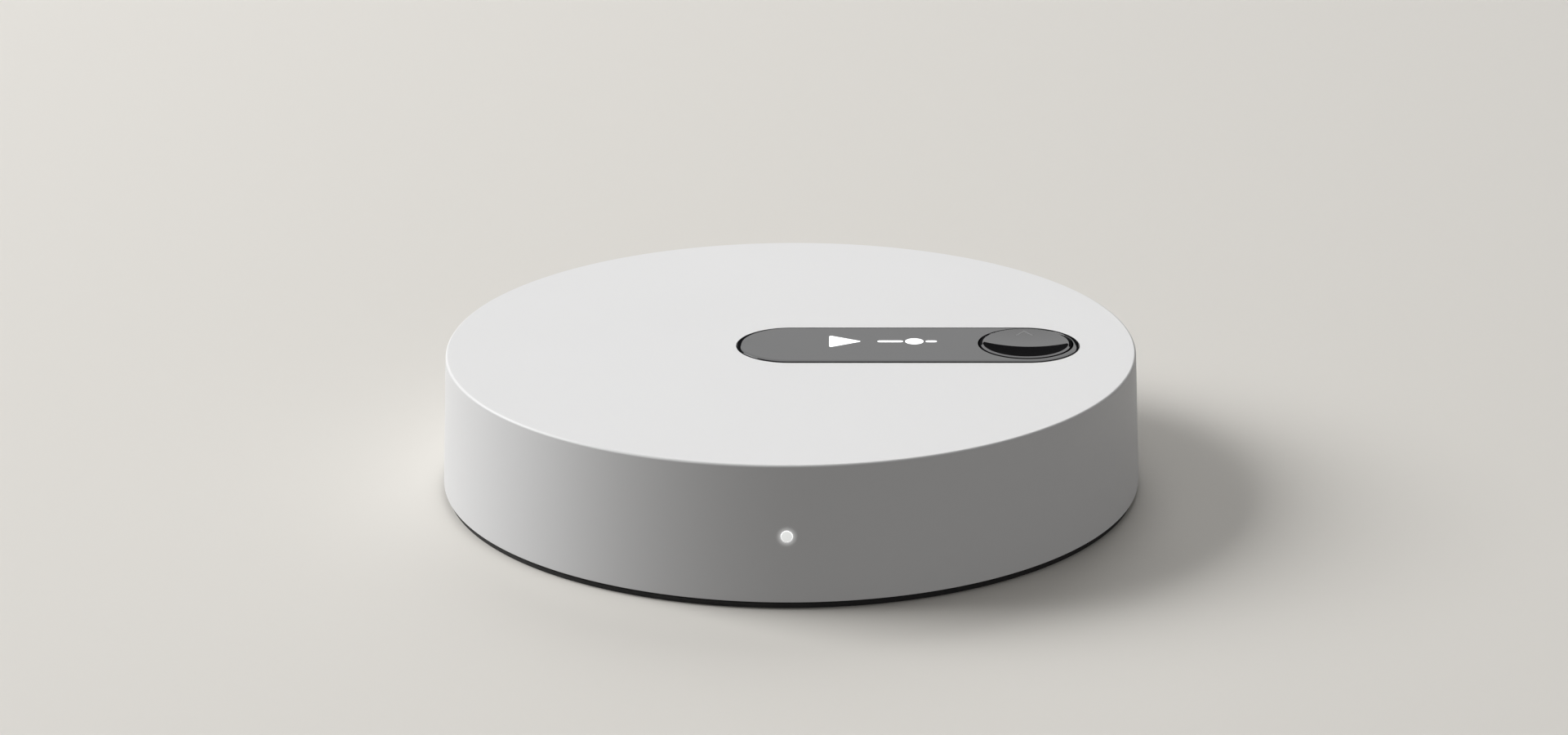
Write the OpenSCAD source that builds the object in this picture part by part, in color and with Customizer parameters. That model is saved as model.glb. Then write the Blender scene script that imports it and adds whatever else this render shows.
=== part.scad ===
// Round streaming media player: a low white puck with a glossy display window in its lid,
// a dished select and scroll button at the window's right end, a status light in the front
// wall and its sockets in a bay at the rear.
// Origin: centre of the footprint on the surface it stands on. +Z up, +X along the display
// window towards the button, -Y front (status light), +Y rear (sockets). Millimetres.

/* [Body] */
// Diameter of the flat top
top_d = 120; // [116:1:124]
// Diameter at the bottom edge of the wall
base_d = 121.94; // [120:0.02:126]
// Height of the wall from its bottom edge to the flat top
body_h = 23.4; // [23:0.1:26]
// Height of the wall's bottom edge above the surface it stands on
foot_gap = 1.2; // [1:0.1:2]
// Thickness of the side wall
wall_t = 2; // [1.8:0.1:2.2]
// Thickness of the lid
lid_t = 2.2; // [2.1:0.1:2.4]
// Radius of the rounded top edge
edge_r = 0.45; // [0.3:0.05:0.8]

/* [Display window] */
// Length of the round-ended window
window_len = 59.8; // [58:0.1:60]
// Width of the round-ended window
window_w = 18.8; // [18.6:0.1:19.2]
// Distance from the centre of the lid to the window's right tip
window_tip = 50.3; // [49:0.1:51]
// Thickness of the window pane
pane_t = 1.65; // [1.55:0.05:1.7]
// Height of the pane's flat top above the lid
pane_rise = 0.3; // [0.15:0.05:0.35]
// Width of the pane's rounded-off border
crown_w = 0.9; // [0.6:0.1:0.9]
// Drop of the pane's rounded-off border from the flat to the edge
crown_drop = 0.15; // [0.1:0.05:0.2]

/* [Button] */
// Radius of the button
button_r = 8.05; // [7.8:0.05:8.1]
// Height of the button's rim above the lid
rim_h = 0.5; // [0.3:0.05:0.7]
// Width of the sloped shoulder outside the rim
shoulder_w = 0.55; // [0.4:0.05:0.8]
// Drop of the shoulder from the rim to its outer edge
shoulder_drop = 0.15; // [0.1:0.01:0.2]
// Depth of the dish in the button
dish_depth = 0.6; // [0.4:0.05:0.9]
// Height of the rocking pin above the surface it stands on
pivot_z = 20.2; // [20:0.1:20.4]
// Radius of the rocking pin
pin_r = 0.75; // [0.7:0.05:0.8]
// How far the button goes down when it is pressed
press_travel = 0.4; // [0.3:0.05:0.4]

/* [Status light] */
// Radius of the light pipe's visible end
light_r = 0.9; // [0.8:0.05:1]
// Height of the light above the wall's bottom edge
light_h = 11.33; // [11:0.01:12]

/* [Socket bay] */
// Width of the opening in the rear wall
bay_w = 55; // [54:0.5:56]
// Height of the opening in the rear wall
bay_h = 14.2; // [14:0.1:14.4]
// Corner radius of the opening in the rear wall
bay_corner = 1.4; // [0.8:0.1:2]
// Distance of the bay's panel face from the centre of the body
panel_y = 51; // [50.6:0.1:51]
// Thickness of the bay's panel
panel_t = 1.6; // [1.4:0.1:1.8]
// How far the reset button goes in
reset_travel = 0.3; // [0.2:0.05:0.3]

/* [Circuit board] */
// Radius of the main board
board_r = 49.6; // [49:0.1:49.8]
// Thickness of the main board
board_t = 1.6; // [1.2:0.1:1.6]

/* [Hidden] */
$fn = 96;
eps = 0.01;

// Heights above the surface that the player stands on
wall_z = foot_gap;
lid_z = wall_z + body_h;
lid_under = lid_z - lid_t;
glass_z = lid_z + pane_rise;
pane_z = glass_z - pane_t;
glue_t = 0.15;
ledge_z = pane_z - glue_t;
light_z = wall_z + light_h;
led_y = -46.6;
floor_z = wall_z + 0.3;
floor_t = 2;
floor_top = floor_z + floor_t;
board_z = 6;
board_top = board_z + board_t;

// Wall radii
top_r = top_d / 2;
base_r = base_d / 2;
inner_base_r = base_r - wall_t;
inner_top_r = top_r - wall_t;
floor_r = inner_base_r - 0.35;
function wall_r(z) = base_r + (top_r - base_r) * (z - wall_z) / body_h;

// Display window: a stadium between two end centres
end_r = window_w / 2;
nav_x = window_tip - end_r;
left_x = window_tip - window_len + end_r;
pane_gap = 0.15;
button_gap = 0.25;
ledge_hole_r = button_r + 0.55;

// Display module behind the window
panel_w = 12.6;
ledge_web = 1.2;
cut_play = 0.6;
cut_left = left_x - sqrt(pow(end_r - 0.6, 2) - pow((panel_w + cut_play) / 2, 2));
cut_right = nav_x - ledge_hole_r - ledge_web;
panel_len = cut_right - cut_left - cut_play;
panel_x = (cut_left + cut_right) / 2;
panel_h = 1.4;
panel_z = pane_z - 0.15 - panel_h;
display_cut = [panel_len + cut_play, panel_w + cut_play];
holder_size = [panel_len + 3, panel_w + 5];
holder_z = 19.9;
holder_ear_y = 11.8;

// Button mechanism
run = 0.06;
plunger_r = 2.2;
guide_top = 18;
guide_t = 1.7;
guide_z = guide_top - guide_t;
tip_z = 15;
push_y = 5.6;
nav_board_z = 11.6;
nav_board_t = 1;
nav_board_top = nav_board_z + nav_board_t;
post_y = 12.6;
post_r = 2.3;
key_gap = 0.05;
mat_t = 0.6;
ear_x = 2.6;
ear_t = 1.2;

// Screws: shank radii, and the play that a shank has in its pilot hole
small_shank = 0.8;
large_shank = 1.1;
pilot_play = 0.03;
pass_play = 0.25;

// Fixing points, as polar or plain positions
lid_boss_r = 53.2;
lid_boss_angles = [45, 135, 225, 315];
board_fix = [[41.8, 15.2], [-41.8, 15.2], [-41.8, -15.2], [41.8, -15.2]];
foot_in_r = 44;
foot_rib_r = 50;
foot_out_r = base_r - 0.55;
foot_pad_t = foot_gap - 0.1;
foot_sink = 0.8;

// Socket bay: the panel's rear-facing side is at panel_y
bay_z = 6.3;
shroud_t = 1.2;
bay_lip = 0.2;
back_y = panel_y - panel_t;
socket_front = panel_y - 0.4;
power_x = -21.5;
hdmi_x = -1.5;
lan_x = 16.8;
reset_x = -13.2;
power_size = [8.94, 3.26];
power_half = (power_size[0] - power_size[1]) / 2;
hdmi_size = [15, 5.7];
lan_size = [16, 13.4];
lan_cavity = [11.9, 7.4];
lan_tab = [6.2, 2.2];
lan_depth = 18;
lan_front = back_y - 0.1;
lan_cavity_z = board_top + 3.4;
reset_r = 1.45;
reset_z = board_top + 2.3;
metal_t = 0.35;

// Processor and its heat spreader
chip_at = [-27, 2];
chip_h = 1.6;
pad_t = 0.75;
spreader_z = board_top + chip_h + pad_t;
spreader_t = 1.45;

// ---- Shapes that repeat ----

// Points along an arc from angle a0 to a1, in n steps
function arc(c, r, a0, a1, n) =
    [for (i = [0:n]) let (a = a0 + (a1 - a0) * i / n) [c[0] + r * cos(a), c[1] + r * sin(a)]];

// A round-ended slot between the end centres x0 and x1, with n steps round each end
module stadium(x0, x1, r, n = 36) {
    polygon(concat(arc([x1, 0], r, -90, 90, n), arc([x0, 0], r, 90, 270, n)));
}

// A rectangle with rounded corners, centred
module rounded(size, r) {
    x = size[0] / 2 - r;
    y = size[1] / 2 - r;
    polygon(concat(arc([x, y], r, 0, 90, 6), arc([-x, y], r, 90, 180, 6),
                   arc([-x, -y], r, 180, 270, 6), arc([x, -y], r, 270, 360, 6)));
}

// A thin strip along a path in the XZ plane, w wide about y = 0
function side(path, t) = [for (i = [0:len(path) - 1])
    let (a = path[max(i - 1, 0)], b = path[min(i + 1, len(path) - 1)],
         d = (b - a) / norm(b - a))
    path[i] + [-d[1], d[0]] * t / 2];
function reversed(list) = [for (i = [len(list) - 1:-1:0]) list[i]];
module strip(path, t, w) {
    rotate([90, 0, 0])
        linear_extrude(w, center = true)
            polygon(concat(side(path, t), reversed(side(path, -t))));
}

// A screw that points up from its head: head bottom at z = 0, shank above it
module screw(head_r, head_h, shank_r, length) {
    difference() {
        union() {
            cylinder(r = head_r, h = head_h);
            cylinder(r = shank_r, h = head_h + length);
        }
        for (a = [0, 90])
            rotate(a)
                translate([0, 0, head_h * 0.25 - eps])
                    cube([head_r * 1.3, head_r * 0.28, head_h * 0.5 + 2 * eps], center = true);
    }
}

// Runs its children on a block that faces the rear, with x and z as the drawing's axes
module facing_rear(x, z, y0, depth) {
    translate([x, y0 + depth, z])
        rotate([90, 0, 0])
            linear_extrude(depth)
                children();
}

// Cubic curve through four control points, swept as an eight-sided cable
function bezier(p, t) = pow(1 - t, 3) * p[0] + 3 * pow(1 - t, 2) * t * p[1]
    + 3 * (1 - t) * t * t * p[2] + pow(t, 3) * p[3];
module cable(p, r, rings) {
    sides = 8;
    path = [for (i = [0:rings]) bezier(p, i / rings)];
    function ahead(i) = let (d = path[min(i + 1, rings)] - path[max(i - 1, 0)]) d / norm(d);
    function ring(i) = let (d = ahead(i), u = cross(d, [0, 0, 1]) / norm(cross(d, [0, 0, 1])),
                            v = cross(d, u))
        [for (k = [0:sides - 1]) path[i] + r * (u * cos(360 * k / sides) + v * sin(360 * k / sides))];
    points = [for (i = [0:rings]) each ring(i)];
    skin = [for (i = [0:rings - 1], k = [0:sides - 1])
        let (n = (k + 1) % sides)
        [i * sides + k, i * sides + n, (i + 1) * sides + n, (i + 1) * sides + k]];
    first = [for (k = [sides - 1:-1:0]) k];
    last = [for (k = [0:sides - 1]) rings * sides + k];
    polyhedron(points, concat(skin, [first, last]));
}

// ---- Housing ----

// Solid of revolution of the outer surface, with the rounded top edge
module outer_body() {
    rotate_extrude($fn = 180)
        polygon(concat([[0, wall_z], [base_r, wall_z]],
                       arc([top_r - edge_r, lid_z - edge_r], edge_r, 0, 90, 5),
                       [[0, lid_z]]));
}

// Rounded outline of the socket opening, grown all round
module bay_outline(grow) {
    r = bay_corner + grow;
    half = [bay_w / 2 + grow, bay_h / 2 + grow];
    square([2 * half[0], 2 * (half[1] - r)], center = true);
    square([2 * (half[0] - r), 2 * half[1]], center = true);
    for (x = [-1, 1], z = [-1, 1])
        translate([x * (half[0] - r), z * (half[1] - r)])
            circle(r = r, $fn = 32);
}

module lid_boss(r, z) {
    translate([0, 0, z])
        cylinder(r = r, h = lid_under - z + 0.5);
}

module top_cover() {
    color("white")
    difference() {
        union() {
            difference() {
                outer_body();
                rotate_extrude($fn = 180)
                    polygon([[0, wall_z - 1], [inner_base_r, wall_z - 1],
                             [inner_top_r, lid_under], [0, lid_under]]);
            }
            for (a = lid_boss_angles)
                rotate(a)
                    translate([lid_boss_r, 0, 0])
                        lid_boss(2.8, floor_top);
            for (side_y = [-1, 1]) {
                translate([nav_x, side_y * post_y, 0])
                    lid_boss(post_r, guide_top);
                translate([panel_x, side_y * holder_ear_y, 0])
                    lid_boss(post_r, holder_z + 1.6);
            }
        }
        // Pocket and ledge of the display window
        translate([0, 0, ledge_z])
            linear_extrude(lid_t)
                stadium(left_x, nav_x, end_r);
        translate([panel_x, 0, lid_under])
            cube([display_cut[0], display_cut[1], 2 * (ledge_z + glue_t - lid_under)], center = true);
        translate([nav_x, 0, lid_under - 1])
            cylinder(r = ledge_hole_r, h = 2);
        // Pilot holes in the bosses
        for (a = lid_boss_angles)
            rotate(a)
                translate([lid_boss_r, 0, floor_top - 1])
                    cylinder(r = large_shank + pilot_play, h = 11, $fn = 32);
        for (side_y = [-1, 1]) {
            translate([nav_x, side_y * post_y, guide_top - 1])
                cylinder(r = small_shank + pilot_play, h = 4.6, $fn = 32);
            translate([panel_x, side_y * holder_ear_y, holder_z + 0.6])
                cylinder(r = small_shank + pilot_play, h = 3, $fn = 32);
        }
        // Light hole in the front and socket opening in the rear
        translate([0, -base_r + wall_t * 2, light_z])
            rotate([90, 0, 0])
                cylinder(r = light_r + 0.04, h = wall_t * 3, $fn = 48);
        facing_rear(0, bay_z + bay_h / 2, panel_y - 1, 18)
            bay_outline(0);
    }
}

module board_post() {
    translate([0, 0, floor_top - 0.5])
        cylinder(r = 3, h = board_z - floor_top + 0.5);
}

module antenna_clip(x) {
    for (y = [-10, 10])
        translate([x, y, floor_top + 3])
            difference() {
                cube([3, 3, 7], center = true);
                translate([0, 0, 2])
                    cube([0.9, 4, 5], center = true);
            }
}

module base_plate() {
    vents = 20;
    color("gainsboro")
    difference() {
        union() {
            translate([0, 0, floor_z])
                cylinder(r = floor_r, h = floor_t, $fn = 180);
            for (p = board_fix)
                translate(p)
                    board_post();
            for (x = [-54, 54])
                antenna_clip(x);
        }
        for (p = board_fix)
            translate([p[0], p[1], floor_z + 0.9])
                cylinder(r = large_shank + pilot_play, h = board_z, $fn = 32);
        for (a = lid_boss_angles)
            rotate(a)
                translate([lid_boss_r, 0, floor_z - 1]) {
                    cylinder(r = large_shank + pass_play, h = 4, $fn = 32);
                    cylinder(r = 2.5, h = 2, $fn = 48);
                }
        translate([0, 0, floor_z - 1])
            difference() {
                cylinder(r = foot_rib_r + 0.15, h = foot_sink + 1, $fn = 180);
                translate([0, 0, -1])
                    cylinder(r = foot_in_r - 0.15, h = foot_sink + 3, $fn = 180);
            }
        for (i = [0:vents - 1])
            rotate(i * 360 / vents)
                translate([27, 0, floor_z])
                    linear_extrude(3 * floor_t, center = true)
                        stadium(-7, 7, 0.8, 6);
    }
}

// Wide pad under the whole rim, with a rib that sits in the base plate's groove
module foot_ring() {
    color([0.1, 0.1, 0.1])
    difference() {
        union() {
            cylinder(r = foot_out_r, h = foot_pad_t, $fn = 180);
            cylinder(r = foot_rib_r, h = floor_z + foot_sink, $fn = 180);
        }
        translate([0, 0, -1])
            cylinder(r = foot_in_r, h = floor_z + foot_sink + 2, $fn = 180);
    }
}

module base_screws() {
    color("silver")
    for (a = lid_boss_angles)
        rotate(a)
            translate([lid_boss_r, 0, floor_z + 0.05])
                screw(2.3, 0.9, large_shank, 9);
}

// Box set into the rear wall: a panel for the sockets and a shroud out to the wall
module port_bay() {
    mid_z = bay_z + bay_h / 2;
    around = 2 * (bay_lip + shroud_t);
    outside = [bay_w + around, bay_h + around];
    color("whitesmoke")
    difference() {
        intersection() {
            translate([0, back_y + 10, mid_z])
                cube([outside[0], 20, outside[1]], center = true);
            cylinder(r = inner_top_r - 0.12, h = 2 * lid_z, $fn = 180);
        }
        facing_rear(0, mid_z, panel_y, 20)
            bay_outline(bay_lip);
        facing_rear(power_x, board_top + power_size[1] / 2, back_y - 1, 4)
            stadium(-power_half, power_half, power_size[1] / 2 + 0.25, 12);
        facing_rear(hdmi_x, board_top + hdmi_size[1] / 2, back_y - 1, 4)
            hdmi_outline(0.3);
        facing_rear(lan_x, lan_cavity_z, back_y - 1, 4)
            lan_outline(0.3);
        translate([reset_x, back_y - 1, reset_z])
            rotate([-90, 0, 0])
                cylinder(r = reset_r + run, h = 4, $fn = 48);
    }
}

// ---- Display window ----

// The border is rounded off in thin layers along an arc
module display_window() {
    layers = 4;
    arc_r = (crown_w * crown_w + crown_drop * crown_drop) / (2 * crown_drop);
    function inset(drop) = crown_w - sqrt(arc_r * arc_r - pow(arc_r - drop, 2));
    color([0.05, 0.05, 0.06])
    difference() {
        for (i = [0:layers])
            translate([0, 0, pane_z])
                linear_extrude(pane_t - crown_drop * (1 - i / layers))
                    stadium(left_x, nav_x, end_r - pane_gap - inset(crown_drop * (1 - i / layers)));
        translate([nav_x, 0, pane_z - 1])
            cylinder(r = button_r + button_gap, h = pane_t + 2);
    }
}

module window_adhesive() {
    color("black")
    translate([0, 0, ledge_z])
        linear_extrude(glue_t)
            difference() {
                intersection() {
                    stadium(left_x, nav_x, end_r - 0.4);
                    translate([left_x - 10, -20])
                        square([panel_x + display_cut[0] / 2 + 11.4 - left_x, 40]);
                }
                translate([panel_x, 0])
                    square([display_cut[0] + 0.2, display_cut[1] + 0.2], center = true);
            }
}

module display_panel() {
    color("midnightblue")
    translate([panel_x, 0, panel_z + panel_h / 2])
        cube([panel_len, panel_w, panel_h], center = true);
}

module display_holder() {
    rim_h = lid_under - 0.05 - holder_z;
    color("dimgray")
    difference() {
        union() {
            translate([panel_x, 0, holder_z])
                linear_extrude(rim_h)
                    rounded(holder_size, 1.5);
            for (side_y = [-1, 1])
                translate([panel_x, side_y * (holder_ear_y - 1.6), holder_z])
                    linear_extrude(1.55)
                        rounded([6, 8], 2);
        }
        translate([panel_x, 0, panel_z - 0.05])
            linear_extrude(4)
                square([panel_len + 0.4, panel_w + 0.4], center = true);
        // Lightening window below the panel and the slot for its ribbon
        translate([panel_x, 0, holder_z - 1])
            linear_extrude(6)
                rounded([panel_len - 12, panel_w - 6], 1);
        translate([panel_x - holder_size[0] / 2, 0, panel_z + 1])
            cube([8, 9, 2.2], center = true);
        for (side_y = [-1, 1])
            translate([panel_x, side_y * holder_ear_y, holder_z - 1])
                cylinder(r = small_shank + 0.1, h = 4, $fn = 32);
    }
}

module display_screws() {
    color("silver")
    for (side_y = [-1, 1])
        translate([panel_x, side_y * holder_ear_y, holder_z - 0.85])
            screw(1.6, 0.8, small_shank, 3.1);
}

module display_flex() {
    x0 = panel_x - panel_len / 2 - 0.1;
    z0 = panel_z + 0.3;
    turn_x = x0 - 3.4;
    low_z = board_top + 0.9;
    color("orange")
        strip(concat([[x0, z0]],
                     arc([turn_x, z0 - 1.4], 1.4, 90, 180, 6),
                     arc([turn_x + 0.4, low_z + 1.8], 1.8, 180, 270, 6),
                     [[turn_x + 4, low_z]]),
              0.16, 8);
}

// ---- Select and scroll button ----

module nav_cap() {
    rim_z = lid_z + rim_h;
    rim_r = button_r - shoulder_w;
    edge_z = rim_z - shoulder_drop;
    skirt_z = 21.2;
    roof_z = 23;
    hollow_r = button_r - 1.25;
    dish_r = (rim_r * rim_r + dish_depth * dish_depth) / (2 * dish_depth);
    color([0.06, 0.06, 0.07])
    translate([nav_x, 0, 0])
        difference() {
            union() {
                difference() {
                    rotate_extrude()
                        polygon([[0, roof_z], [hollow_r, roof_z], [hollow_r, skirt_z],
                                 [button_r, skirt_z], [button_r, edge_z - 0.12],
                                 [button_r - 0.08, edge_z], [rim_r, rim_z], [0, rim_z]]);
                    translate([0, 0, rim_z + dish_r - dish_depth])
                        sphere(r = dish_r);
                }
                for (s = [-1, 1]) {
                    translate([s * (ear_x + ear_t / 2), 0, (roof_z + pivot_z) / 2 - 0.4])
                        cube([ear_t, 3.2, roof_z - pivot_z + 1.4], center = true);
                    translate([0, s * push_y, (roof_z + tip_z) / 2 + 0.15])
                        cube([2.4, 1.6, roof_z - tip_z + 0.3], center = true);
                }
            }
            translate([0, 0, pivot_z])
                rotate([0, 90, 0])
                    cylinder(r = pin_r + run, h = 12, center = true, $fn = 48);
        }
}

module nav_pin() {
    color("silver")
    translate([nav_x, 0, pivot_z])
        rotate([0, 90, 0])
            cylinder(r = pin_r, h = 2 * (ear_x + ear_t) + 0.6, center = true, $fn = 48);
}

module nav_cradle() {
    block_z = guide_top + press_travel + 0.2;
    clip_z = guide_z - 0.65;
    color("ivory")
    translate([nav_x, 0, 0])
        difference() {
            union() {
                translate([0, 0, (block_z + pivot_z + 1.4) / 2])
                    cube([2 * ear_x - 0.4, 3.6, pivot_z + 1.4 - block_z], center = true);
                translate([0, 0, tip_z])
                    cylinder(r = plunger_r, h = block_z - tip_z + 0.5, $fn = 64);
                translate([2.4, 0, (guide_z + block_z) / 2])
                    cube([1.2, 1, block_z - guide_z + 0.4], center = true);
            }
            translate([0, 0, pivot_z])
                rotate([0, 90, 0])
                    cylinder(r = pin_r + 0.01, h = 12, center = true, $fn = 48);
            translate([0, 0, clip_z])
                difference() {
                    cylinder(r = plunger_r + 0.5, h = 0.55, $fn = 64);
                    translate([0, 0, -1])
                        cylinder(r = plunger_r - 0.5, h = 3, $fn = 64);
                }
        }
}

// Retaining clip in the plunger's groove, under the guide
module nav_clip() {
    color("silver")
    translate([nav_x, 0, guide_z - 0.62])
        difference() {
            cylinder(r = plunger_r + 1, h = 0.48, $fn = 64);
            translate([0, 0, -1])
                cylinder(r = plunger_r - 0.45, h = 3, $fn = 64);
            translate([0, -1.3, -1])
                cube([6, 2.6, 3]);
        }
}

// Bracket under the lid: the plunger's bore and key slot, two legs down to the button board
module nav_guide() {
    color("dimgray")
    translate([nav_x, 0, 0])
        difference() {
            union() {
                translate([0, 0, guide_z])
                    cylinder(r = 8.8, h = guide_t);
                for (s = [-1, 1]) {
                    translate([0, s * (post_y - 2.5), guide_z + guide_t / 2])
                        cube([4.4, 5, guide_t], center = true);
                    translate([0, s * post_y, nav_board_top])
                        cylinder(r = post_r, h = guide_top - nav_board_top);
                }
            }
            translate([0, 0, guide_z - 1])
                cylinder(r = plunger_r + run, h = guide_t + 2, $fn = 64);
            translate([2.3, 0, guide_z + guide_t / 2])
                cube([1.6, 1.16, guide_t + 2], center = true);
            for (s = [-1, 1]) {
                translate([0, s * push_y, guide_z + guide_t / 2])
                    cube([3.4, 2.8, guide_t + 2], center = true);
                translate([0, s * post_y, nav_board_top - 1])
                    cylinder(r = small_shank + 0.1, h = 8, $fn = 32);
            }
        }
}

// Silicone mat with three domes, which return the button and close its contacts
module nav_keymat() {
    dome_h = tip_z - key_gap - nav_board_top - mat_t;
    color("lightslategray")
    translate([nav_x, 0, nav_board_top + 0.02])
        difference() {
            union() {
                cylinder(r = 9, h = mat_t);
                for (y = [-push_y, 0, push_y])
                    translate([0, y, mat_t / 2])
                        cylinder(r1 = 2.6, r2 = 1.5, h = dome_h + mat_t / 2 - 0.02, $fn = 48);
            }
            for (y = [-push_y, 0, push_y])
                translate([0, y, -eps])
                    cylinder(r1 = 2, r2 = 1, h = mat_t + dome_h * 0.45, $fn = 48);
        }
}

module nav_board() {
    color("darkgreen")
    translate([nav_x, 0, nav_board_z])
        linear_extrude(nav_board_t)
            difference() {
                rounded([20, 2 * post_y + 5.4], 2);
                for (s = [-1, 1])
                    translate([0, s * post_y])
                        circle(r = small_shank + 0.1, $fn = 32);
            }
}

module nav_screws() {
    color("silver")
    for (s = [-1, 1])
        translate([nav_x, s * post_y, nav_board_z - 0.83])
            screw(1.6, 0.8, small_shank, guide_top - nav_board_z + 3);
}

module nav_flex() {
    x0 = nav_x - 9;
    z0 = nav_board_z - 0.12;
    low_z = board_top + 0.9;
    turn_x = x0 - 3;
    color("orange")
        strip(concat([[x0 + 4, z0], [x0, z0]],
                     arc([turn_x, z0 - 1.2], 1.2, 90, 180, 5),
                     arc([turn_x + 0.2, low_z + 0.4], 1.4, 180, 270, 5) - [for (i = [0:5]) [0, -1]],
                     [[turn_x + 3.6, low_z]]),
              0.16, 6);
}

// ---- Main board and its parts ----

module main_board() {
    color("darkgreen")
    translate([0, 0, board_z])
        linear_extrude(board_t)
            difference() {
                union() {
                    intersection() {
                        circle(r = board_r, $fn = 180);
                        translate([0, back_y - 0.3 - board_r])
                            square(2 * board_r, center = true);
                    }
                    translate([-26.5, 0])
                        square([53, back_y - 0.3]);
                }
                for (p = board_fix)
                    translate(p)
                        circle(r = large_shank + pass_play, $fn = 32);
            }
}

module board_screws() {
    color("silver")
    for (p = board_fix)
        translate([p[0], p[1], board_top + 1.3])
            rotate([180, 0, 0])
                screw(2.2, 1.27, large_shank, 4.2);
}

module processor_chip() {
    color("black")
    translate([chip_at[0], chip_at[1], board_top + chip_h / 2])
        cube([15, 15, chip_h], center = true);
}

module thermal_pad() {
    color("lightblue")
    translate([chip_at[0], chip_at[1], board_top + chip_h + pad_t / 2])
        cube([14, 14, pad_t], center = true);
}

// Finned aluminium plate over the processor, on four legs
module heat_spreader() {
    size = [26, 42];
    color("lightgray")
    translate([chip_at[0], chip_at[1], 0]) {
        translate([-size[0] / 2, -size[1] / 2, spreader_z])
            cube([size[0], size[1], spreader_t]);
        for (i = [-4:4])
            translate([i * 2.9 - 0.5, -size[1] / 2, spreader_z])
                cube([1, size[1], spreader_t + 3]);
        for (sx = [-1, 1], sy = [-1, 1])
            translate([sx * (size[0] / 2 - 1) - 1, sy * (size[1] / 2 - 1) - 1, board_top])
                cube([2, 2, spreader_z - board_top + 0.5]);
    }
}

module memory_chips() {
    color("black")
    for (x = [-8, 6])
        translate([x, -24, board_top + 0.55])
            cube([11, 9, 1.1], center = true);
}

module wifi_module() {
    color("silver")
    translate([1, 22, board_top])
        linear_extrude(2.2)
            rounded([15, 12], 0.8);
}

module antenna(x) {
    color("goldenrod")
    translate([x, 0, floor_top + 7.1])
        cube([0.6, 30, 9], center = true);
}

module left_antenna() antenna(-54);
module right_antenna() antenna(54);

module antenna_cables() {
    color("gray") {
        cable([[-7.2, 22, 8.9], [-22, 34, 8.3], [-48, 40, 8.8], [-53.1, 6, 12.4]], 0.55, 20);
        cable([[9.2, 22, 8.9], [24, 32, 8.3], [48, 40, 8.8], [53.1, 6, 12.4]], 0.55, 20);
    }
}

module power_coils() {
    color("dimgray")
    for (p = [[26, -20], [26, -29], [17, -34]])
        translate([p[0], p[1], board_top])
            linear_extrude(3.2)
                rounded([6.4, 6.4], 0.9);
}

module capacitors() {
    color("silver")
    for (p = [[-19, -34], [-10, -38], [32, 24], [-20, 33]])
        translate([p[0], p[1], board_top])
            cylinder(r = 2.6, h = 5.6, $fn = 48);
}

module flex_connectors() {
    color("ivory")
    for (c = [[panel_x - panel_len / 2 + 2.4, 10], [nav_x - 6.6, 8]])
        translate([c[0], 0, board_top + 0.37])
            cube([3.4, c[1], 0.7], center = true);
}

// ---- Status light ----

module status_led() {
    color("white")
    translate([0, led_y, board_top + 0.4])
        cube([2.8, 2.2, 0.8], center = true);
}

// Clear pipe from the front wall to the lamp on the board, with a mirror-cut corner
module light_pipe() {
    tip_y = -wall_r(light_z);
    leg = 2 * light_r + 0.4;
    leg_z = board_top + 0.9;
    leg_top = light_z + light_r + 0.1;
    cut = 1.2;
    color("white")
    difference() {
        union() {
            translate([0, tip_y, light_z])
                rotate([-90, 0, 0])
                    cylinder(r = light_r, h = led_y - tip_y, $fn = 48);
            translate([-leg / 2, led_y - leg / 2, leg_z])
                cube([leg, leg, leg_top - leg_z]);
        }
        translate([0, led_y + leg / 2, leg_top])
            rotate([45, 0, 0])
                cube([leg + 1, cut * sqrt(2), cut * sqrt(2)], center = true);
    }
}

// ---- Sockets ----

// The outline of the larger socket: its lower corners are cut off
module hdmi_outline(grow) {
    w = hdmi_size[0] / 2 + grow;
    h = hdmi_size[1] / 2 + grow;
    polygon([[-w, h], [-w, -h * 0.15], [-w + 2.1, -h], [w - 2.1, -h], [w, -h * 0.15], [w, h]]);
}

module hdmi_shell() {
    z = board_top + hdmi_size[1] / 2 + 0.02;
    color("silver")
    difference() {
        facing_rear(hdmi_x, z, socket_front - 11.4, 11.4)
            hdmi_outline(0);
        facing_rear(hdmi_x, z, socket_front - 10.6, 12)
            hdmi_outline(-metal_t);
    }
}

module hdmi_tongue() {
    color("black")
    translate([hdmi_x, socket_front - 10.5, board_top + hdmi_size[1] / 2 + 0.2])
        union() {
            translate([-5.8, 0, -0.1])
                cube([11.6, 8.6, 1.2]);
            translate([-5.9, 0, -1.6])
                cube([11.8, 2, 3.7]);
        }
}

module power_shell() {
    z = board_top + power_size[1] / 2 + 0.02;
    color("silver")
    difference() {
        facing_rear(power_x, z, socket_front - 8, 8)
            stadium(-power_half, power_half, power_size[1] / 2, 12);
        facing_rear(power_x, z, socket_front - 7.4, 9)
            stadium(-power_half, power_half, power_size[1] / 2 - metal_t, 12);
    }
}

module power_tongue() {
    color("black")
    translate([power_x, socket_front - 7.3, board_top + power_size[1] / 2 + 0.02])
        union() {
            translate([-3.2, 0, -0.35])
                cube([6.4, 6, 0.7]);
            translate([-3.3, 0, -1.1])
                cube([6.6, 1.4, 2.2]);
        }
}

// The network socket's mouth: a plug space with the latch's notch below it
module lan_outline(grow) {
    w = lan_cavity[0] / 2 + grow;
    t = lan_tab[0] / 2 + grow;
    polygon([[-w, -grow], [-t, -grow], [-t, -lan_tab[1] - grow], [t, -lan_tab[1] - grow],
             [t, -grow], [w, -grow], [w, lan_cavity[1] + grow], [-w, lan_cavity[1] + grow]]);
}

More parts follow.
